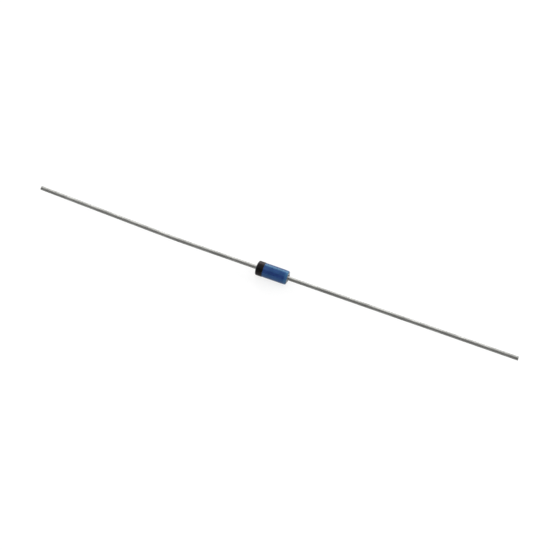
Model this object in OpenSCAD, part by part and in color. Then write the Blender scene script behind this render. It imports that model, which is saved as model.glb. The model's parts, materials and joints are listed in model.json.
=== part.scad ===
// Axial glass diode. A glass sleeve is fused around two metal studs, which press a silicon
// chip between them. Each stud has a tinned wire lead welded to its outer face. The sleeve is
// lacquered blue, and a black band marks its cathode end.
// Millimetres. X runs along the lead axis, with the anode at +X, and the origin is the middle
// of the sleeve.

/* [Glass sleeve] */
// Length of the sleeve along the lead axis
sleeve_length = 4.1; // [3.4:0.1:5]
// Outside diameter of the bare glass
sleeve_dia = 1.74; // [1.5:0.02:2.2]
// Radius of the melted outer shoulder at each end
shoulder_radius = 0.26; // [0.14:0.02:0.3]
// Radius of the melted edge round the mouth of the bore
mouth_radius = 0.08; // [0.04:0.01:0.1]

/* [Blue lacquer] */
// Thickness of the lacquer film
lacquer_thickness = 0.03; // [0.02:0.005:0.05]
// Length of bare glass past the lacquer at the anode end
anode_bare = 0.06; // [0.05:0.01:0.3]
// Length of bare glass past the lacquer at the cathode end
cathode_bare = 0.05; // [0.03:0.01:0.2]

/* [Cathode band] */
// Width of the band along the axis, from the edge of the lacquer
band_width = 0.9; // [0.4:0.05:1.2]
// Thickness of the ink
ink_thickness = 0.02; // [0.01:0.005:0.03]

/* [Studs and chip] */
// Diameter of the studs, which is also the bore of the glass fused to them
stud_dia = 0.86; // [0.74:0.02:1]
// Depth of a stud's outer face inside the end of the sleeve
stud_recess = 0.08; // [0.08:0.01:0.3]
// Side of the square chip
chip_side = 0.4; // [0.3:0.02:0.46]
// Thickness of the chip
chip_thickness = 0.15; // [0.1:0.01:0.25]
// Diameter of the silver bump on the chip's anode face
bump_dia = 0.24; // [0.12:0.02:0.3]
// Height of the silver bump
bump_height = 0.06; // [0.03:0.01:0.1]

/* [Leads] */
// Diameter of the tinned wire
lead_dia = 0.5; // [0.46:0.01:0.56]
// Length of wire outside the sleeve, on each side
lead_length = 29.2; // [25.5:0.1:38]
// Chamfer that the cutter leaves at the free end
tip_chamfer = 0.04; // [0.01:0.01:0.1]
// Diameter of the weld collar where a lead meets its stud
weld_dia = 0.62; // [0.58:0.01:0.66]
// Length of the weld collar
weld_length = 0.1; // [0.05:0.01:0.2]

/* [Cathode lead bend] */
// Distance of the bend from the end of the sleeve
bend_distance = 10.5; // [3:0.5:15]
// Angle of the bend, towards +Y
bend_angle = 1.7; // [0.4:0.1:3]

/* [Hidden] */
$fn = 96;
tin = [0.72, 0.72, 0.69];
stud_copper = [0.62, 0.38, 0.26];
silicon = [0.25, 0.26, 0.3];
silver = [0.86, 0.86, 0.84];
glass = [0.62, 0.68, 0.68];
lacquer_blue = [0.15, 0.28, 0.5];
ink_black = [0.05, 0.05, 0.06];

half_length = sleeve_length / 2;
sleeve_radius = sleeve_dia / 2;
bore_radius = stud_dia / 2;
// The shoulder arc turns about this point of the half section, and every film keeps it
shoulder_centre = [sleeve_radius - shoulder_radius, half_length - shoulder_radius];
// The chip and its bump fill the gap between the studs, centred on the origin
chip_gap = chip_thickness + bump_height;
// Where a stud ends and its lead begins
stud_face = half_length - stud_recess;
stud_length = stud_face - chip_gap / 2;
bend_x = half_length + bend_distance;
// The films' edges along the axis
lacquer_start = cathode_bare - half_length;
lacquer_end = half_length - anode_bare;

// Lays what is drawn along +Z along the lead axis instead
module along_x() rotate([0, 90, 0]) children();

// Half section of the sleeve without its bore, grown outwards by a film of the given thickness
module round_ended_section(film) {
    radius = shoulder_radius + film;
    translate([0, -shoulder_centre.y]) square([shoulder_centre.x + radius, 2 * shoulder_centre.y]);
    translate([0, -half_length - film]) square([shoulder_centre.x, 2 * (half_length + film)]);
    for (end = [-1, 1])
        translate([shoulder_centre.x, end * shoulder_centre.y]) circle(r = radius);
}

// Half section of the bore, with the rounded mouth that its melted edges leave
module bore_section() {
    mouth_y = half_length - mouth_radius;
    translate([0, -sleeve_length]) square([bore_radius, 2 * sleeve_length]);
    for (end = [0, 1])
        mirror([0, end])
            difference() {
                translate([bore_radius, mouth_y]) square(mouth_radius);
                translate([bore_radius + mouth_radius, mouth_y]) circle(r = mouth_radius);
            }
}

// A film on the sleeve, between two thicknesses and between two places along the axis
module film(inner, outer, from, to) {
    along_x()
        rotate_extrude()
            intersection() {
                difference() {
                    round_ended_section(outer);
                    round_ended_section(inner);
                }
                translate([0, from]) square([sleeve_dia, to - from]);
            }
}

module glass_sleeve() {
    color(glass)
        along_x()
            rotate_extrude()
                difference() {
                    round_ended_section(0);
                    bore_section();
                }
}

module blue_lacquer() {
    color(lacquer_blue)
        film(0, lacquer_thickness, lacquer_start, lacquer_end);
}

module cathode_band() {
    color(ink_black)
        film(
            lacquer_thickness, lacquer_thickness + ink_thickness,
            lacquer_start, lacquer_start + band_width
        );
}

// A stud that fills the bore on the +X side
module stud() {
    translate([chip_gap / 2, 0, 0]) along_x() cylinder(d = stud_dia, h = stud_length);
}

module anode_stud() {
    color(stud_copper) stud();
}

module cathode_stud() {
    color(stud_copper) mirror([1, 0, 0]) stud();
}

// The chip lies flat against the cathode stud
module silicon_chip() {
    color(silicon)
        translate([-chip_gap / 2, -chip_side / 2, -chip_side / 2])
            cube([chip_thickness, chip_side, chip_side]);
}

module contact_bump() {
    color(silver)
        translate([chip_thickness - chip_gap / 2, 0, 0])
            along_x() cylinder(d = bump_dia, h = bump_height);
}

// The stretch of lead that grows from the +X stud, with its weld collar, up to a point on the axis
module lead_root(end_x) {
    translate([stud_face, 0, 0])
        along_x() {
            cylinder(d1 = weld_dia, d2 = lead_dia, h = weld_length);
            cylinder(d = lead_dia, h = end_x - stud_face);
        }
}

// A straight stretch of lead from the origin to its cut end
module lead_end(length) {
    straight = length - tip_chamfer;
    along_x() {
        cylinder(d = lead_dia, h = straight);
        translate([0, 0, straight])
            cylinder(d1 = lead_dia, d2 = lead_dia - 2 * tip_chamfer, h = tip_chamfer);
    }
}

module anode_lead() {
    color(tin) {
        lead_root(half_length);
        translate([half_length, 0, 0]) lead_end(lead_length);
    }
}

// The space past the plane that halves the bend, where the wire's two stretches meet
module beyond_bend() {
    translate([bend_x, 0, 0])
        rotate([0, 0, bend_angle / 2])
            translate([0, -lead_length / 2, -lead_length / 2]) cube(lead_length);
}

// Both stretches run one diameter past the bend, and its halving plane trims them to meet there
module cathode_lead() {
    color(tin)
        mirror([1, 0, 0]) {
            difference() {
                lead_root(bend_x + lead_dia);
                beyond_bend();
            }
            intersection() {
                translate([bend_x, 0, 0])
                    rotate([0, 0, bend_angle])
                        translate([-lead_dia, 0, 0]) lead_end(lead_length - bend_distance + lead_dia);
                beyond_bend();
            }
        }
}

glass_sleeve();
blue_lacquer();
cathode_band();
anode_stud();
cathode_stud();
silicon_chip();
contact_bump();
anode_lead();
cathode_lead();
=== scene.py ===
# Axial glass diode: a lacquered glass sleeve fused around two studs and a silicon chip, with a
# tinned wire lead on each side. Metres, in the frame of the solids: X along the lead axis with
# the anode at +X, and +Z up.
import json
from math import cos, pi, radians, sin, tau

import bmesh
import bpy
from mathutils import Matrix, Vector


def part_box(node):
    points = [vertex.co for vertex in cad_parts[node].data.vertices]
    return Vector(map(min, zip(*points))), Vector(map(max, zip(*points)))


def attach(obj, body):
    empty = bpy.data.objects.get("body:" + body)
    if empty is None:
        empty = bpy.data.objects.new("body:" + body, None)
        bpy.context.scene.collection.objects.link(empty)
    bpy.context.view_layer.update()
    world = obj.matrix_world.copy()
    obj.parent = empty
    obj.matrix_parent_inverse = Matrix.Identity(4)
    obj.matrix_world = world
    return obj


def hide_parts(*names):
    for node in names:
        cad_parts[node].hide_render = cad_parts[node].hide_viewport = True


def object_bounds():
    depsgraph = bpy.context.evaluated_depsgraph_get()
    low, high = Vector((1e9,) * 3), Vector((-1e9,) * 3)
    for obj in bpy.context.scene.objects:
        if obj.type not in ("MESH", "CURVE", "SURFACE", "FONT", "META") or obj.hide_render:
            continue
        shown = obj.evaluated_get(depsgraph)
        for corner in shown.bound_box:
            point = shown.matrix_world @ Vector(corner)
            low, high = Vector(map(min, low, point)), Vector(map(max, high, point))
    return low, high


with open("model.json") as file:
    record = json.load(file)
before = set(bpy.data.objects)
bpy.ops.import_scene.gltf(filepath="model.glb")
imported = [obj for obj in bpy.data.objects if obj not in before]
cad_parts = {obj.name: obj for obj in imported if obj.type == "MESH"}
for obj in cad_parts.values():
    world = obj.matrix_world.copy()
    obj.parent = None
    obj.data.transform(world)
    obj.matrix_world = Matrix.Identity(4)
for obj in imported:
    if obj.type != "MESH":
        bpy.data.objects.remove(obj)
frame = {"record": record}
cad_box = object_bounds()


# Silicon chip
# A square sawn from a polished wafer, with a step where the first saw cut thinned its edges.
# It lies flat on the cathode stud, and its other face has the round contact pad.

chip_low, chip_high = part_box("silicon_chip")
chip_half = chip_high.y
saw_step = 0.000014
step_depth = 0.00005
worn_corner = 0.000003
pad_radius = 0.00015
pad_fade = 0.000009
saw_marks = 0.000008
grit_size = 0.000012


def add_node(tree, kind, inputs=(), **options):
    """Adds a node, sets its options, and fills its inputs with values or other nodes' outputs."""
    node = tree.nodes.new(kind)
    for option, value in options.items():
        setattr(node, option, value)
    for key, value in dict(inputs).items():
        if isinstance(value, bpy.types.NodeSocket):
            tree.links.new(value, node.inputs[key])
        else:
            node.inputs[key].default_value = value
    return node


def calc(tree, operation, *values):
    """The output of one Math node."""
    return add_node(tree, "ShaderNodeMath", enumerate(values), operation=operation).outputs[0]


def ramp(tree, value, start, stop, low=0.0, high=1.0):
    """A value that eases from low to high while another goes from start to stop."""
    ends = {"Value": value, "From Min": start, "From Max": stop, "To Min": low, "To Max": high}
    return add_node(tree, "ShaderNodeMapRange", ends, interpolation_type="SMOOTHSTEP").outputs[0]


def mix_colour(tree, share, first, second):
    """The first colour where the share is 0 and the second where it is 1."""
    # Where the colour form of the Mix node has its sockets
    factor, a, b, result = 0, 6, 7, 2
    colours = {a: first, b: second}
    for key, colour in colours.items():
        if not isinstance(colour, bpy.types.NodeSocket):
            colours[key] = (*colour, 1.0)
    mix = add_node(tree, "ShaderNodeMix", {factor: share, **colours}, data_type="RGBA")
    return mix.outputs[result]


def mix_value(tree, share, first, second):
    """The first value where the share is 0 and the second where it is 1."""
    return ramp(tree, share, 0, 1, first, second)


def new_finish(name):
    """A material with one Principled shader, its node tree and that shader."""
    finish = bpy.data.materials.new(name)
    finish.use_nodes = True
    return finish, finish.node_tree, finish.node_tree.nodes["Principled BSDF"]


def feed(tree, shader, **sockets):
    """Links outputs to the shader's sockets, named with _ for a space."""
    for name, output in sockets.items():
        tree.links.new(output, shader.inputs[name.replace("_", " ")])


def place_on(tree):
    """The place of a point on the piece, in the piece's own frame."""
    return add_node(tree, "ShaderNodeTexCoord").outputs["Object"]


def split(tree, vector):
    """The three coordinates of a vector."""
    return add_node(tree, "ShaderNodeSeparateXYZ", {0: vector}).outputs


def distance(tree, at, *axes):
    """The distance of a point from the middle, in the plane of two axes."""
    squares = [calc(tree, "MULTIPLY", at[axis], at[axis]) for axis in axes]
    return calc(tree, "SQRT", calc(tree, "ADD", *squares))


def speckle(tree, place, size, detail=2.0):
    """Soft random patches of about the given size, from 0 to 1."""
    scale = calc(tree, "DIVIDE", 1.0, size) if isinstance(size, bpy.types.NodeSocket) else 1 / size
    noise = add_node(tree, "ShaderNodeTexNoise", {"Vector": place, "Scale": scale, "Detail": detail})
    return noise.outputs["Fac"]


def finished(shape, name, finish):
    """Turns a bmesh into a piece with smooth faces, sharp only at its true edges."""
    true_edge = radians(40)
    bmesh.ops.recalc_face_normals(shape, faces=shape.faces)
    mesh = bpy.data.meshes.new(name)
    shape.to_mesh(mesh)
    shape.free()
    mesh.shade_smooth()
    mesh.set_sharp_from_angle(angle=true_edge)
    mesh.materials.append(finish)
    piece = bpy.data.objects.new(name, mesh)
    bpy.context.scene.collection.objects.link(piece)
    return piece


def settle(piece, node):
    """The piece stands for a node of the part: it hangs from the root body, and the node's own mesh is
    hidden.
    """
    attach(piece, "root")
    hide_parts(node)


def silicon_finish():
    """Dark polished wafer with a bright round pad, and grey saw marks round its sides."""
    finish, tree, shader = new_finish("sawn silicon")
    place = place_on(tree)
    at = split(tree, place)
    pad = ramp(tree, distance(tree, at, "Y", "Z"), pad_radius, pad_radius - pad_fade)
    to_sides = [calc(tree, "ABSOLUTE", at[axis]) for axis in ("Y", "Z")]
    widest = calc(tree, "MAXIMUM", *to_sides)
    sawn = ramp(tree, widest, chip_half - saw_marks, chip_half - saw_marks / 2)
    grit = speckle(tree, place, grit_size)
    wafer = mix_colour(tree, grit, (0.05, 0.055, 0.07), (0.075, 0.08, 0.1))
    cut = mix_colour(tree, grit, (0.1, 0.1, 0.11), (0.17, 0.17, 0.18))
    bare = mix_colour(tree, sawn, wafer, cut)
    feed(tree, shader, Base_Color=mix_colour(tree, pad, bare, (0.5, 0.5, 0.49)),
         Roughness=mix_value(tree, calc(tree, "MULTIPLY", sawn, grit), 0.18, 0.75))
    shader.inputs["Metallic"].default_value = 0.7
    return finish


chip_levels = [
    (chip_low.x, chip_half),
    (chip_high.x - step_depth, chip_half),
    (chip_high.x - step_depth, chip_half - saw_step),
    (chip_high.x, chip_half - saw_step),
]
chip_shape = bmesh.new()
chip_squares = [
    [chip_shape.verts.new((x, half * y, half * z)) for y, z in ((-1, -1), (1, -1), (1, 1), (-1, 1))]
    for x, half in chip_levels
]
chip_shape.faces.new(chip_squares[0])
chip_shape.faces.new(chip_squares[-1])
for lower, upper in zip(chip_squares, chip_squares[1:]):
    for i in range(len(lower)):
        chip_shape.faces.new((lower[i - 1], lower[i], upper[i], upper[i - 1]))
bmesh.ops.bevel(chip_shape, geom=chip_shape.edges[:], offset=worn_corner, segments=2, affect="EDGES")
chip = finished(chip_shape, "silicon_die", silicon_finish())
settle(chip, "silicon_chip")


# Contact bump
# A button of silver plated on the chip's pad, squeezed a little barrel-shaped by the anode stud.
# Its ends are flat where the chip and the stud press on it.

bump_low, bump_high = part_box("contact_bump")
bump_radius = bump_high.z
bump_squeeze = 0.000018
bump_steps = 12
bump_sides = 48
crystal_size = 0.00002
crystal_stretch, crystal_detail = 2.5, 3.0
crystal_relief = 0.000001


def turned(name, outline, finish, sides=96, hollow=False):
    """A piece turned about the X axis from an outline of points (x, r), a closed one if hollow."""
    shape = bmesh.new()
    angles = [tau * i / sides for i in range(sides)]
    rings = []
    for x, r in outline:
        around = angles if r else [0.0]
        rings.append([shape.verts.new((x, r * cos(a), r * sin(a))) for a in around])
    following = rings[1:] + rings[:1] if hollow else rings[1:]
    for first, second in zip(rings, following):
        for i in range(sides):
            corners = ((first, i - 1), (first, i), (second, i), (second, i - 1))
            shape.faces.new(dict.fromkeys(ring[j % len(ring)] for ring, j in corners))
    return finished(shape, name, finish)


def join(tree, x=0.0, y=0.0, z=0.0):
    """A vector from its three coordinates."""
    return add_node(tree, "ShaderNodeCombineXYZ", {"X": x, "Y": y, "Z": z}).outputs[0]


def stretched_grain_group():
    """The grain of worked metal: random spots of a given width that are stretched along X."""
    usual_low, usual_high = 0.25, 0.75
    group = bpy.data.node_groups.new("stretched grain", "ShaderNodeTree")
    face = group.interface
    face.new_socket("Place", in_out="INPUT", socket_type="NodeSocketVector")
    for size in ("Width", "Stretch", "Detail"):
        face.new_socket(size, in_out="INPUT", socket_type="NodeSocketFloat")
    face.new_socket("Grain", in_out="OUTPUT", socket_type="NodeSocketFloat")
    given = group.nodes.new("NodeGroupInput").outputs
    squeeze = join(group, calc(group, "DIVIDE", 1.0, given["Stretch"]), 1.0, 1.0)
    factors = {0: given["Place"], 1: squeeze}
    squeezed = add_node(group, "ShaderNodeVectorMath", factors, operation="MULTIPLY").outputs[0]
    spots = speckle(group, squeezed, given["Width"], given["Detail"])
    made = group.nodes.new("NodeGroupOutput").inputs
    group.links.new(ramp(group, spots, usual_low, usual_high), made["Grain"])
    return group


stretched_grain = stretched_grain_group()


def grain(tree, place, width, stretch, detail):
    """Stretched grain of these sizes, from 0 to 1."""
    sizes = {"Place": place, "Width": width, "Stretch": stretch, "Detail": detail}
    return add_node(tree, "ShaderNodeGroup", sizes, node_tree=stretched_grain).outputs["Grain"]


def relief(tree, height, depth):
    """The normal of a surface whose height, from 0 to 1, spans that depth."""
    surface = {"Strength": 1.0, "Distance": depth, "Height": height}
    return add_node(tree, "ShaderNodeBump", surface).outputs[0]


def silver_finish():
    """Matt plated silver with a fine crystal grain."""
    finish, tree, shader = new_finish("plated silver")
    crystals = grain(tree, place_on(tree), crystal_size, crystal_stretch, crystal_detail)
    feed(tree, shader, Base_Color=mix_colour(tree, crystals, (0.62, 0.61, 0.57), (0.82, 0.81, 0.78)),
         Roughness=mix_value(tree, crystals, 0.5, 0.3),
         Normal=relief(tree, crystals, crystal_relief))
    shader.inputs["Metallic"].default_value = 1.0
    return finish


bump_outline = [(bump_low.x, 0)]
for i in range(bump_steps + 1):
    share = i / bump_steps
    bump_x = bump_low.x + share * (bump_high.x - bump_low.x)
    bump_outline.append((bump_x, bump_radius - bump_squeeze * (1 - sin(pi * share))))
bump_outline.append((bump_high.x, 0))
silver_bump = turned("silver_bump", bump_outline, silver_finish(), sides=bump_sides)
settle(silver_bump, "contact_bump")


# Studs
# Two plugs of nickel-iron wire with a copper skin, cut from a drawn rod and oxidised red-brown so
# that the glass wets them. They fill the sleeve's bore and press the chip between them.

stud_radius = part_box("anode_stud")[1].z
stud_edge = 0.00002
edge_steps = 4
stud_streak = 0.00002
stud_patch = 0.0002
stud_relief = 0.000002
stud_wear = 0.5
# Drawing leaves long plain streaks, and shorter patches with finer detail
streak_stretch, streak_detail = 50, 1.0
patch_stretch, patch_detail = 2.5, 3.0


def arc(centre_x, centre_r, radius, start, stop, steps):
    """Points (x, r) of an arc, with angles in degrees from +X towards the outside."""
    turns = [radians(start + (stop - start) * i / steps) for i in range(steps + 1)]
    return [(centre_x + radius * cos(t), centre_r + radius * sin(t)) for t in turns]


def drawn_marks(tree, place, streak_width, patch_width):
    """Marks that drawing leaves on metal: fine streaks, and duller and brighter patches."""
    streaks = grain(tree, place, streak_width, streak_stretch, streak_detail)
    patches = grain(tree, place, patch_width, patch_stretch, patch_detail)
    return streaks, patches


def stud_finish():
    """Red-brown copper oxide, worn brighter along the drawing streaks."""
    finish, tree, shader = new_finish("oxidised copper skin")
    streaks, patches = drawn_marks(tree, place_on(tree), stud_streak, stud_patch)
    oxide = mix_colour(tree, patches, (0.2, 0.075, 0.05), (0.4, 0.19, 0.125))
    worn = calc(tree, "MULTIPLY", streaks, stud_wear)
    feed(tree, shader, Base_Color=mix_colour(tree, worn, oxide, (0.5, 0.28, 0.19)),
         Roughness=mix_value(tree, patches, 0.55, 0.34),
         Normal=relief(tree, streaks, stud_relief))
    shader.inputs["Metallic"].default_value = 1.0
    return finish


copper_skin = stud_finish()
for node in ("anode_stud", "cathode_stud"):
    low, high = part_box(node)
    stud_outline = [
        (low.x, 0),
        *arc(low.x + stud_edge, stud_radius - stud_edge, stud_edge, 180, 90, edge_steps),
        *arc(high.x - stud_edge, stud_radius - stud_edge, stud_edge, 90, 0, edge_steps),
        (high.x, 0),
    ]
    settle(turned(node + "_plug", stud_outline, copper_skin), node)


# Leads
# Copper-clad steel wire, drawn and dull tinned, butt-welded to the outer face of each stud with a
# small collar of weld, and cropped square at the free end. The cathode lead has been bent a little.

anode_mount, cathode_mount = frame["record"]["mounts"]
wire_radius = anode_mount["dims"]["r_mm"] / 1000
weld_radius = 0.00031
weld_length = 0.0001
crop_edge = 0.00004
stud_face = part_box("anode_stud")[1].x
wire_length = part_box("anode_lead")[1].x - stud_face
# The cathode mount is the straight stretch from the bend to the cropped end
bend_distance = wire_length - crop_edge - cathode_mount["dims"]["length_mm"] / 1000
bend_spread = 0.004
bend_slope = cathode_mount["axis"][1]
wire_sides = 40
weld_steps, straight_steps, crop_steps = 8, 110, 6
wire_streak = 0.000045
wire_patch = 0.0009
wire_relief = 0.000003
# How far from the axis the cropped end goes over from steel to copper, and from copper to tin
copper_from, copper_full = 0.000195, 0.000205
tin_from, tin_full = 0.000235, 0.0002425
crop_margin = 0.000001
# How much the streaks count beside the patches, in the tin's colour and in its relief
streak_tint = 0.4
streak_height = 0.6


def wire_tree():
    """Sweeps a round wire along a straight route on X, with its weld, its cropped end and one bend."""
    tree = bpy.data.node_groups.new("tinned wire along a route", "GeometryNodeTree")
    face = tree.interface
    face.new_socket("Route", in_out="INPUT", socket_type="NodeSocketGeometry")
    for size in ("Wire Radius", "Weld Radius", "Weld Length", "Wire Length", "Crop Edge",
                 "Bend Distance", "Bend Spread", "Bend Slope"):
        face.new_socket(size, in_out="INPUT", socket_type="NodeSocketFloat")
    face.new_socket("Sides", in_out="INPUT", socket_type="NodeSocketInt")
    face.new_socket("Finish", in_out="INPUT", socket_type="NodeSocketMaterial")
    face.new_socket("Wire", in_out="OUTPUT", socket_type="NodeSocketGeometry")
    given = tree.nodes.new("NodeGroupInput").outputs
    position = tree.nodes.new("GeometryNodeInputPosition").outputs[0]

    def store(geometry, name, value, data_type):
        """The geometry with a value kept on it under a name."""
        inputs = {"Geometry": geometry, "Name": name, "Value": value}
        return add_node(tree, "GeometryNodeStoreNamedAttribute", inputs, data_type=data_type).outputs[0]

    def stored(name, data_type):
        """The value that was kept under that name."""
        inputs = {"Name": name}
        return add_node(tree, "GeometryNodeInputNamedAttribute", inputs, data_type=data_type).outputs[0]

    route = add_node(tree, "GeometryNodeMeshToCurve", {"Mesh": given["Route"]}).outputs[0]
    route = store(route, "along", split(tree, position)["X"], "FLOAT")
    along = stored("along", "FLOAT")

    # The wire curves evenly over the spread of the bend, half of it before the bend and half after
    bend_start = calc(tree, "MULTIPLY_ADD", given["Bend Spread"], -0.5, given["Bend Distance"])
    past = calc(tree, "MAXIMUM", calc(tree, "SUBTRACT", along, bend_start), 0.0)
    curving = calc(tree, "MINIMUM", past, given["Bend Spread"])
    curved = calc(tree, "DIVIDE", calc(tree, "MULTIPLY", curving, curving),
                  calc(tree, "MULTIPLY", given["Bend Spread"], 2.0))
    leaning = calc(tree, "ADD", curved, calc(tree, "SUBTRACT", past, curving))
    straightness = calc(tree, "COSINE", calc(tree, "ARCSINE", given["Bend Slope"]))
    lost = calc(tree, "SUBTRACT", 1.0, straightness)
    bent = join(tree, x=calc(tree, "SUBTRACT", along, calc(tree, "MULTIPLY", leaning, lost)),
                y=calc(tree, "MULTIPLY", leaning, given["Bend Slope"]))
    route = add_node(tree, "GeometryNodeSetPosition", {"Geometry": route, "Position": bent}).outputs[0]

    # The collar hollows down to the wire, and the cropped edge is a quarter round
    to_wire = calc(tree, "SUBTRACT", 1.0, calc(tree, "DIVIDE", along, given["Weld Length"]))
    weld = calc(tree, "MAXIMUM", to_wire, 0.0)
    collar = calc(tree, "MULTIPLY", calc(tree, "MULTIPLY", weld, weld),
                  calc(tree, "SUBTRACT", given["Weld Radius"], given["Wire Radius"]))
    crop_start = calc(tree, "SUBTRACT", given["Wire Length"], given["Crop Edge"])
    into_crop = calc(tree, "DIVIDE", calc(tree, "SUBTRACT", along, crop_start), given["Crop Edge"])
    into_crop = calc(tree, "MINIMUM", calc(tree, "MAXIMUM", into_crop, 0.0), 1.0)
    left_of_square = calc(tree, "SUBTRACT", 1.0, calc(tree, "MULTIPLY", into_crop, into_crop))
    rounding = calc(tree, "SQRT", left_of_square)
    inset = calc(tree, "MULTIPLY", calc(tree, "SUBTRACT", 1.0, rounding), given["Crop Edge"])
    radius = calc(tree, "SUBTRACT", calc(tree, "ADD", given["Wire Radius"], collar), inset)

    unit_circle = {"Resolution": given["Sides"], "Radius": 1.0}
    circle = add_node(tree, "GeometryNodeCurvePrimitiveCircle", unit_circle).outputs[0]
    circle = store(circle, "around", position, "FLOAT_VECTOR")
    sweep = {"Curve": route, "Profile Curve": circle, "Scale": radius, "Fill Caps": True}
    wire = add_node(tree, "GeometryNodeCurveToMesh", sweep).outputs[0]
    # The finish reads where each point lay on the straight wire, so its marks follow the bend
    around = split(tree, stored("around", "FLOAT_VECTOR"))
    as_drawn = join(tree, along, calc(tree, "MULTIPLY", around["X"], given["Wire Radius"]),
                    calc(tree, "MULTIPLY", around["Y"], given["Wire Radius"]))
    wire = store(wire, "as_drawn", as_drawn, "FLOAT_VECTOR")
    wire = add_node(tree, "GeometryNodeSetShadeSmooth", {"Geometry": wire}).outputs[0]
    wire = add_node(tree, "GeometryNodeRealizeInstances", {"Geometry": wire}).outputs[0]
    dressed = {"Geometry": wire, "Material": given["Finish"]}
    wire = add_node(tree, "GeometryNodeSetMaterial", dressed).outputs[0]
    tree.links.new(wire, tree.nodes.new("NodeGroupOutput").inputs["Wire"])
    return tree


def grown(name, tree, base, sizes):
    """The piece that a geometry tree grows from a base mesh, as a plain mesh with outward faces."""
    piece = bpy.data.objects.new(name, base)
    bpy.context.scene.collection.objects.link(piece)
    modifier = piece.modifiers.new(tree.name, "NODES")
    modifier.node_group = tree
    for socket in tree.interface.items_tree:
        if socket.in_out == "INPUT" and socket.name in sizes:
            modifier[socket.identifier] = sizes[socket.name]
    evaluated = piece.evaluated_get(bpy.context.evaluated_depsgraph_get())
    mesh = bpy.data.meshes.new_from_object(evaluated)
    piece.modifiers.clear()
    piece.data = mesh
    shape = bmesh.new()
    shape.from_mesh(mesh)
    bmesh.ops.recalc_face_normals(shape, faces=shape.faces)
    shape.to_mesh(mesh)
    shape.free()
    return piece


def tin_finish():
    """Dull tin with drawing streaks, and the steel and copper that the cropped end lays bare."""
    finish, tree, shader = new_finish("dull tin")
    place = add_node(tree, "ShaderNodeAttribute", attribute_name="as_drawn").outputs["Vector"]
    at = split(tree, place)
    streaks, patches = drawn_marks(tree, place, wire_streak, wire_patch)
    streaked = calc(tree, "MULTIPLY_ADD", streaks, streak_tint, 1 - streak_tint)
    worn = calc(tree, "MULTIPLY", patches, streaked)
    tin = mix_colour(tree, worn, (0.215, 0.215, 0.206), (0.345, 0.345, 0.331))
    from_axis = distance(tree, at, "Y", "Z")
    steel = mix_colour(tree, streaks, (0.16, 0.16, 0.16), (0.28, 0.27, 0.26))
    copper_share = ramp(tree, from_axis, copper_from, copper_full)
    clad = mix_colour(tree, copper_share, steel, (0.42, 0.2, 0.12))
    tin_share = ramp(tree, from_axis, tin_from, tin_full)
    section = mix_colour(tree, tin_share, clad, (0.3, 0.3, 0.285))
    cropped = calc(tree, "GREATER_THAN", at["X"], wire_length - crop_margin)
    low_patches = calc(tree, "MULTIPLY", patches, 1 - streak_height)
    height = calc(tree, "MULTIPLY_ADD", streaks, streak_height, low_patches)
    feed(tree, shader, Base_Color=mix_colour(tree, cropped, tin, section),
         Roughness=mix_value(tree, worn, 0.5, 0.36), Normal=relief(tree, height, wire_relief))
    shader.inputs["Metallic"].default_value = 1.0
    shader.inputs["Specular Tint"].default_value = (0.1, 0.1, 0.1, 1.0)
    return finish


crop_start = wire_length - crop_edge
straight_step = (crop_start - weld_length) / straight_steps
stations = [weld_length * i / weld_steps for i in range(weld_steps)]
stations += [weld_length + straight_step * i for i in range(straight_steps)]
stations += [crop_start + crop_edge * sin(pi / 2 * i / crop_steps) for i in range(crop_steps + 1)]
route = bpy.data.meshes.new("lead route")
route.from_pydata([(x, 0, 0) for x in stations], [(i, i + 1) for i in range(len(stations) - 1)], [])
tinned_wire = wire_tree()
wire_sizes = {
    "Wire Radius": wire_radius, "Weld Radius": weld_radius, "Weld Length": weld_length,
    "Wire Length": wire_length, "Crop Edge": crop_edge, "Bend Distance": bend_distance,
    "Bend Spread": bend_spread, "Sides": wire_sides, "Finish": tin_finish(),
}
# The cathode lead is grown like the anode lead and turned half round, so its bend leans the other way
for node, slope, half_turn, start in (("anode_lead", 0.0, 0.0, stud_face),
                                      ("cathode_lead", -bend_slope, pi, -stud_face)):
    lead = grown(node + "_wire", tinned_wire, route.copy(), {**wire_sizes, "Bend Slope": slope})
    lead.data.transform(Matrix.Translation((start, 0, 0)) @ Matrix.Rotation(half_turn, 4, "Z"))
    settle(lead, node)


# Glass sleeve
# A length of soft lead-glass tube, melted on to the studs, with rounded shoulders and mouths where
# the heat softened its cut ends. Only its rims stay bare past the lacquer.

sleeve_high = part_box("glass_sleeve")[1]
half_length = sleeve_high.x
sleeve_radius = sleeve_high.z
sleeve_sides = 192
shoulder_radius = 0.00026
shoulder_steps = 24
mouth_radius = 0.00008
mouth_steps = 8
# The stud and the lacquer sink this far into the glass, so that no air shows between them
wetted = 0.000002
bore_radius = stud_radius - wetted
glass_wave = 0.00025
glass_relief = 0.000004


def glass_finish():
    """Clear bluish glass, a little wavy and here and there duller from the flame."""
    finish, tree, shader = new_finish("clear sealing glass")
    waves = speckle(tree, place_on(tree), glass_wave)
    feed(tree, shader, Base_Color=mix_colour(tree, waves, (0.46, 0.6, 0.72), (0.57, 0.71, 0.82)),
         Roughness=mix_value(tree, waves, 0.04, 0.16), Normal=relief(tree, waves, glass_relief))
    shader.inputs["Transmission Weight"].default_value = 0.85
    shader.inputs["IOR"].default_value = 1.54
    return finish


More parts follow.
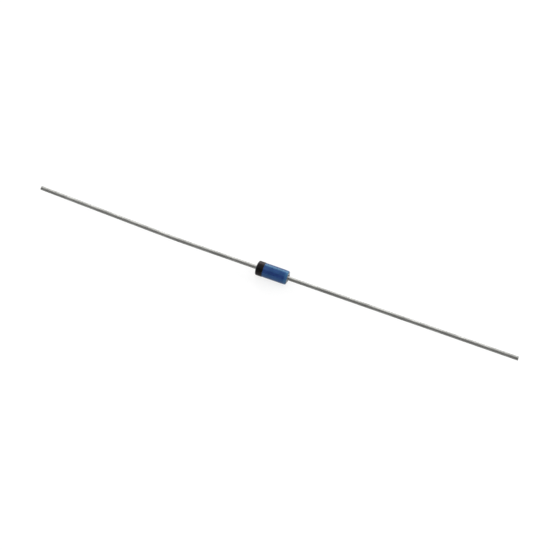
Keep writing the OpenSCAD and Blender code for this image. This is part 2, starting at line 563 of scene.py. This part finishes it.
shoulder_x = half_length - shoulder_radius
shoulder_r = sleeve_radius - shoulder_radius
mouth_x = half_length - mouth_radius
mouth_r = bore_radius + mouth_radius
sleeve_outline = [
    *arc(mouth_x, mouth_r, mouth_radius, 270, 360, mouth_steps),
    *arc(shoulder_x, shoulder_r, shoulder_radius, 0, 90, shoulder_steps),
    *arc(-shoulder_x, shoulder_r, shoulder_radius, 90, 180, shoulder_steps),
    *arc(-mouth_x, mouth_r, mouth_radius, 180, 270, mouth_steps),
]
sleeve = turned("glass_tube", sleeve_outline, glass_finish(), sides=sleeve_sides, hollow=True)
settle(sleeve, "glass_sleeve")


# Blue lacquer
# A glossy film that the sleeve is dipped in and that sets hard. It thins out to nothing at its
# edges, which wander a little, and it runs closer to the anode end at the front than at the back.

lacquer_low, lacquer_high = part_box("blue_lacquer")
lacquer_thickness = 0.00003
lacquer_feather = 0.00009
lacquer_run_out = 0.0008
lacquer_lean = 0.00003
lacquer_ripple = 0.12
lacquer_rows = 141
# The films share their way of ending: a small lip, and an edge that strays by its seed
edge_wander = 0.00006
edge_lip = 0.25
edge_lip_width = 0.00002
cathode_edge_seed, lacquer_stop_seed = 1.0, 2.0
film_sides = 193
peel_size = 0.00016
peel_relief = 0.000001
cloud_size = 0.0007
cloud_dulling = 0.06


def film_tree():
    """A closed film on the round-ended sleeve, over another coat, with thin and wandering edges."""
    wander_size, wander_detail = 0.77, 3.0
    swell_size, swell_detail = 0.62, 1.0
    seam_gap = 1e-8
    tree = bpy.data.node_groups.new("film on the sleeve", "GeometryNodeTree")
    face = tree.interface
    for size in ("Start", "Stop", "Stop Lean", "Thickness", "Start Feather", "Stop Feather",
                 "Edge Wander", "Start Seed", "Stop Seed", "Ripple", "Lip", "Lip Width", "Sunk",
                 "Coat Start", "Coat Feather", "Coat Thickness",
                 "Shoulder Start", "Shoulder Radius", "Shoulder Middle"):
        face.new_socket(size, in_out="INPUT", socket_type="NodeSocketFloat")
    for count in ("Rows", "Sides"):
        face.new_socket(count, in_out="INPUT", socket_type="NodeSocketInt")
    face.new_socket("Finish", in_out="INPUT", socket_type="NodeSocketMaterial")
    face.new_socket("Film", in_out="OUTPUT", socket_type="NodeSocketGeometry")
    given = tree.nodes.new("NodeGroupInput").outputs
    unit_grid = {"Size X": 1.0, "Size Y": 1.0,
                 "Vertices X": given["Rows"], "Vertices Y": given["Sides"]}
    film = add_node(tree, "GeometryNodeMeshGrid", unit_grid).outputs[0]
    at = split(tree, tree.nodes.new("GeometryNodeInputPosition").outputs[0])
    angle = calc(tree, "MULTIPLY", calc(tree, "ADD", at["Y"], 0.5), tau)
    cosine = calc(tree, "COSINE", angle)
    sine = calc(tree, "SINE", angle)

    def wander(seed):
        """How far an edge strays, the same for each film that has this seed."""
        noise = speckle(tree, join(tree, cosine, sine, seed), wander_size, wander_detail)
        return calc(tree, "MULTIPLY", calc(tree, "SUBTRACT", noise, 0.5), given["Edge Wander"])

    start_stray = wander(given["Start Seed"])
    start = calc(tree, "ADD", given["Start"], start_stray)
    stop = calc(tree, "ADD", given["Stop"], wander(given["Stop Seed"]))
    stop = calc(tree, "SUBTRACT", stop, calc(tree, "MULTIPLY", given["Stop Lean"], cosine))
    # The rows run along the outside from the start to the stop, and back along the inside
    fold = calc(tree, "SUBTRACT", 1.0, calc(tree, "ABSOLUTE", calc(tree, "MULTIPLY", at["X"], 2.0)))
    outside = calc(tree, "LESS_THAN", at["X"], 0.0)
    inside = calc(tree, "SUBTRACT", 1.0, outside)
    eased = calc(tree, "COSINE", calc(tree, "MULTIPLY", fold, pi))
    share = calc(tree, "MULTIPLY", calc(tree, "SUBTRACT", 1.0, eased), 0.5)
    x = calc(tree, "MULTIPLY_ADD", share, calc(tree, "SUBTRACT", stop, start), start)

    def fullness(inner_x, edge_x, feather):
        """How full a coat is, from 0 at its edge to 1 past its feather."""
        return ramp(tree, calc(tree, "SUBTRACT", inner_x, edge_x), 0.0, feather)

    coat_edge = calc(tree, "ADD", given["Coat Start"], start_stray)
    coat_fullness = fullness(x, coat_edge, given["Coat Feather"])
    coat = calc(tree, "MULTIPLY", coat_fullness, given["Coat Thickness"])
    coverage = calc(tree, "MULTIPLY", fullness(x, start, given["Start Feather"]),
                    fullness(stop, x, given["Stop Feather"]))
    lip = calc(tree, "MULTIPLY", fullness(x, start, given["Lip Width"]),
               fullness(stop, x, given["Lip Width"]))
    left_over = calc(tree, "SUBTRACT", 1.0, given["Lip"])
    fill = calc(tree, "MULTIPLY", lip, calc(tree, "MULTIPLY_ADD", coverage, left_over, given["Lip"]))
    in_millimetres = calc(tree, "MULTIPLY", x, 1000.0)
    swell = speckle(tree, join(tree, in_millimetres, cosine, sine), swell_size, swell_detail)
    evenness = calc(tree, "MULTIPLY_ADD", calc(tree, "SUBTRACT", swell, 0.5), given["Ripple"], 1.0)
    thickness = calc(tree, "MULTIPLY", calc(tree, "MULTIPLY", fill, given["Thickness"]), evenness)
    lift = calc(tree, "SUBTRACT", calc(tree, "MULTIPLY_ADD", outside, thickness, coat),
                calc(tree, "MULTIPLY", inside, given["Sunk"]))
    # The film lies on the tube, and past the shoulders' start on their arcs
    curve = calc(tree, "ADD", given["Shoulder Radius"], lift)
    past = calc(tree, "SUBTRACT", calc(tree, "ABSOLUTE", x), given["Shoulder Start"])
    past = calc(tree, "MAXIMUM", past, 0.0)
    height = calc(tree, "SQRT", calc(tree, "SUBTRACT", calc(tree, "MULTIPLY", curve, curve),
                                     calc(tree, "MULTIPLY", past, past)))
    radius = calc(tree, "ADD", given["Shoulder Middle"], height)
    wrapped = join(tree, x, calc(tree, "MULTIPLY", radius, cosine),
                   calc(tree, "MULTIPLY", radius, sine))
    cover = {"Geometry": film, "Name": "coverage", "Value": coverage}
    film = add_node(tree, "GeometryNodeStoreNamedAttribute", cover, data_type="FLOAT").outputs[0]
    film = add_node(tree, "GeometryNodeSetPosition", {"Geometry": film, "Position": wrapped}).outputs[0]
    seams = {"Geometry": film, "Distance": seam_gap}
    film = add_node(tree, "GeometryNodeMergeByDistance", seams).outputs[0]
    film = add_node(tree, "GeometryNodeSetShadeSmooth", {"Geometry": film}).outputs[0]
    film = add_node(tree, "GeometryNodeRealizeInstances", {"Geometry": film}).outputs[0]
    dressed = {"Geometry": film, "Material": given["Finish"]}
    film = add_node(tree, "GeometryNodeSetMaterial", dressed).outputs[0]
    tree.links.new(film, tree.nodes.new("NodeGroupOutput").inputs["Film"])
    return tree


def dried_film_group():
    """How a film dries: a fine orange peel, and broad clouds where it is thicker or thinner."""
    usual_low, usual_high = 0.3, 0.7
    group = bpy.data.node_groups.new("dried film", "ShaderNodeTree")
    face = group.interface
    face.new_socket("Place", in_out="INPUT", socket_type="NodeSocketVector")
    for size in ("Peel Size", "Cloud Size"):
        face.new_socket(size, in_out="INPUT", socket_type="NodeSocketFloat")
    for mark in ("Peel", "Clouds"):
        face.new_socket(mark, in_out="OUTPUT", socket_type="NodeSocketFloat")
    given = group.nodes.new("NodeGroupInput").outputs
    made = group.nodes.new("NodeGroupOutput").inputs
    for mark, size, detail in (("Peel", "Peel Size", 1.0), ("Clouds", "Cloud Size", 3.0)):
        spots = speckle(group, given["Place"], given[size], detail)
        group.links.new(ramp(group, spots, usual_low, usual_high), made[mark])
    return group


dried_film = dried_film_group()


def film_finish(name, thin, light, dark, roughness):
    """A glossy film, paler where it thins out at its edges and clouded between two shades."""
    thin_until, covered_from = 0.05, 0.7
    finish, tree, shader = new_finish(name)
    sizes = {"Place": place_on(tree), "Peel Size": peel_size, "Cloud Size": cloud_size}
    surface = add_node(tree, "ShaderNodeGroup", sizes, node_tree=dried_film).outputs
    coverage = add_node(tree, "ShaderNodeAttribute", attribute_name="coverage").outputs["Fac"]
    covered = ramp(tree, coverage, thin_until, covered_from)
    body = mix_colour(tree, surface["Clouds"], dark, light)
    feed(tree, shader, Base_Color=mix_colour(tree, covered, thin, body),
         Roughness=mix_value(tree, surface["Clouds"], roughness, roughness + cloud_dulling),
         Normal=relief(tree, surface["Peel"], peel_relief))
    return finish, shader


film_on_sleeve = film_tree()
film_sizes = {
    "Shoulder Start": shoulder_x, "Shoulder Radius": shoulder_radius, "Shoulder Middle": shoulder_r,
    "Coat Start": lacquer_low.x, "Coat Feather": lacquer_feather, "Sunk": wetted,
    "Start Seed": cathode_edge_seed, "Edge Wander": edge_wander,
    "Lip": edge_lip, "Lip Width": edge_lip_width, "Sides": film_sides,
}
lacquer_finish, lacquer_shader = film_finish(
    "blue lacquer", thin=(0.029, 0.077, 0.182), light=(0.0175, 0.0385, 0.142),
    dark=(0.013, 0.0305, 0.116), roughness=0.12)
lacquer_shader.inputs["Specular IOR Level"].default_value = 0.38
lacquer_shader.inputs["Specular Tint"].default_value = (0.28, 0.9, 1.0, 1.0)
lacquer = grown("blue_lacquer_film", film_on_sleeve, bpy.data.meshes.new("blue_lacquer_film"), {
    **film_sizes, "Start": lacquer_low.x, "Stop": lacquer_high.x, "Stop Lean": lacquer_lean,
    "Thickness": lacquer_thickness, "Coat Thickness": 0.0, "Ripple": lacquer_ripple,
    "Start Feather": lacquer_feather, "Stop Feather": lacquer_run_out,
    "Stop Seed": lacquer_stop_seed, "Rows": lacquer_rows, "Finish": lacquer_finish})
settle(lacquer, "blue_lacquer")


# Cathode band
# A ring of black ink rolled on over the lacquer, out to its edge at the cathode end. The roller
# leaves its inner edge slightly uneven and its face a little duller than the lacquer.

band_low, band_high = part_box("cathode_band")
ink_thickness = 0.00002
ink_feather = 0.00004
ink_ripple = 0.2
ink_rows = 101
ink_stop_seed = 3.0
ink_finish, ink_shader = film_finish(
    "black ink", thin=(0.012, 0.012, 0.013), light=(0.0024, 0.0032, 0.0029),
    dark=(0.001, 0.0018, 0.0016), roughness=0.33)
ink_shader.inputs["Specular IOR Level"].default_value = 0.16
ink_shader.inputs["Specular Tint"].default_value = (1.0, 0.78, 0.86, 1.0)
band = grown("cathode_band_ink", film_on_sleeve, bpy.data.meshes.new("cathode_band_ink"), {
    **film_sizes, "Start": band_low.x, "Stop": band_high.x, "Stop Lean": 0.0,
    "Thickness": ink_thickness, "Coat Thickness": lacquer_thickness, "Ripple": ink_ripple,
    "Start Feather": ink_feather, "Stop Feather": ink_feather,
    "Stop Seed": ink_stop_seed, "Rows": ink_rows, "Finish": ink_finish})
settle(band, "cathode_band")


# Table
# A plain white table that the diode lies on, which sweeps up all round into a low white backdrop.
# Its own glow makes it white, a little weaker near the diode so that the shadow shows there.

table_z = cad_box[0].z
table_reach = 1.5
table_sides = 64
sweep_radius = 0.15
sweep_steps = 8
backdrop_height = 0.42
glow_near_diode = 0.78
glow_rise_start = 0.08
glow_rise_stop = 0.3


def table_finish():
    """A matt surface that the camera, metal and glass see as white, with the diode's shadow on it."""
    finish, tree, shader = new_finish("white table")
    shader.inputs["Base Color"].default_value = (0.2, 0.2, 0.2, 1)
    shader.inputs["Roughness"].default_value = 0.9
    shader.inputs["Specular IOR Level"].default_value = 0.0
    shader.inputs["Emission Color"].default_value = (1, 1, 1, 1)
    from_diode = distance(tree, split(tree, place_on(tree)), "X", "Y")
    glow = ramp(tree, from_diode, glow_rise_start, glow_rise_stop, glow_near_diode, 1.0)
    path = add_node(tree, "ShaderNodeLightPath").outputs
    seen = calc(tree, "MAXIMUM", path["Is Camera Ray"], path["Is Glossy Ray"])
    seen = calc(tree, "MAXIMUM", seen, path["Is Transmission Ray"])
    feed(tree, shader, Emission_Strength=calc(tree, "MULTIPLY", seen, glow))
    return finish


# The outline is turned like a piece of the diode, and then stood on end
table_outline = [
    (0, 0),
    *arc(sweep_radius, table_reach - sweep_radius, sweep_radius, 180, 90, sweep_steps),
    (backdrop_height, table_reach),
]
table = turned("white_table", table_outline, table_finish(), sides=table_sides)
table.data.transform(Matrix.Translation((0, 0, table_z)) @ Matrix.Rotation(-pi / 2, 4, "Y"))


# Studio light
# Soft boxes above, behind and at both ends of the diode, a brighter one behind its anode end that
# catches the shoulder, a fill at the front that isn't seen in reflections, and a dim room.

room_level = 0.12


def soft_box(name, middle, size, radiance, reflected=True):
    """A rectangular lamp that faces the diode and looks as bright as the radiance says."""
    lamp = bpy.data.lights.new(name, "AREA")
    lamp.shape = "RECTANGLE"
    lamp.size, lamp.size_y = size
    lamp.energy = radiance * pi * size[0] * size[1]
    box = bpy.data.objects.new(name, lamp)
    box.location = middle
    box.rotation_euler = (-Vector(middle)).to_track_quat("-Z", "Y").to_euler()
    box.visible_camera = False
    box.visible_glossy = reflected
    bpy.context.scene.collection.objects.link(box)


soft_box("top_box", middle=(0, 0.09, 0.3), size=(0.6, 0.42), radiance=0.85)
soft_box("back_box", middle=(-0.06, 0.32, 0.115), size=(0.46, 0.23), radiance=4.4)
soft_box("shoulder_box", middle=(0.27, 0.19, 0.13), size=(0.2, 0.22), radiance=5.0)
soft_box("left_box", middle=(-0.26, 0, 0.23), size=(0.28, 0.28), radiance=1.4)
soft_box("right_box", middle=(0.22, 0.03, 0.24), size=(0.28, 0.28), radiance=0.6)
soft_box("front_fill", middle=(0, -0.34, 0.13), size=(0.4, 0.2), radiance=4.0, reflected=False)
room = bpy.data.worlds.new("dim room")
room.use_nodes = True
background = room.node_tree.nodes["Background"]
background.inputs["Color"].default_value = (room_level, room_level, room_level, 1)
bpy.context.scene.world = room


# Camera
# Looks down on the diode from the front, turned so that the leads fall away to the right. It aims
# a little off the middle of the sleeve, where the middle of the picture lies.

view_azimuth = radians(21.07)
view_elevation = radians(65.0)
view_distance = 0.1784
image_size = 550
focal_pixels = 1464.5
aim_right = 0.000305
aim_up = -0.000267
back = Vector((sin(view_azimuth) * cos(view_elevation), -cos(view_azimuth) * cos(view_elevation),
               sin(view_elevation)))
right = Vector((cos(view_azimuth), sin(view_azimuth), 0))
aim = right * aim_right + back.cross(right) * aim_up
lens = bpy.data.cameras.new("camera")
lens.sensor_width = 36
lens.lens = lens.sensor_width * focal_pixels / image_size
lens.clip_start = 0.01
camera = bpy.data.objects.new("camera", lens)
camera.location = aim + back * view_distance
camera.rotation_euler = (-back).to_track_quat("-Z", "Y").to_euler()
bpy.context.scene.collection.objects.link(camera)
bpy.context.scene.camera = camera
bpy.context.scene.view_settings.view_transform = "Standard"
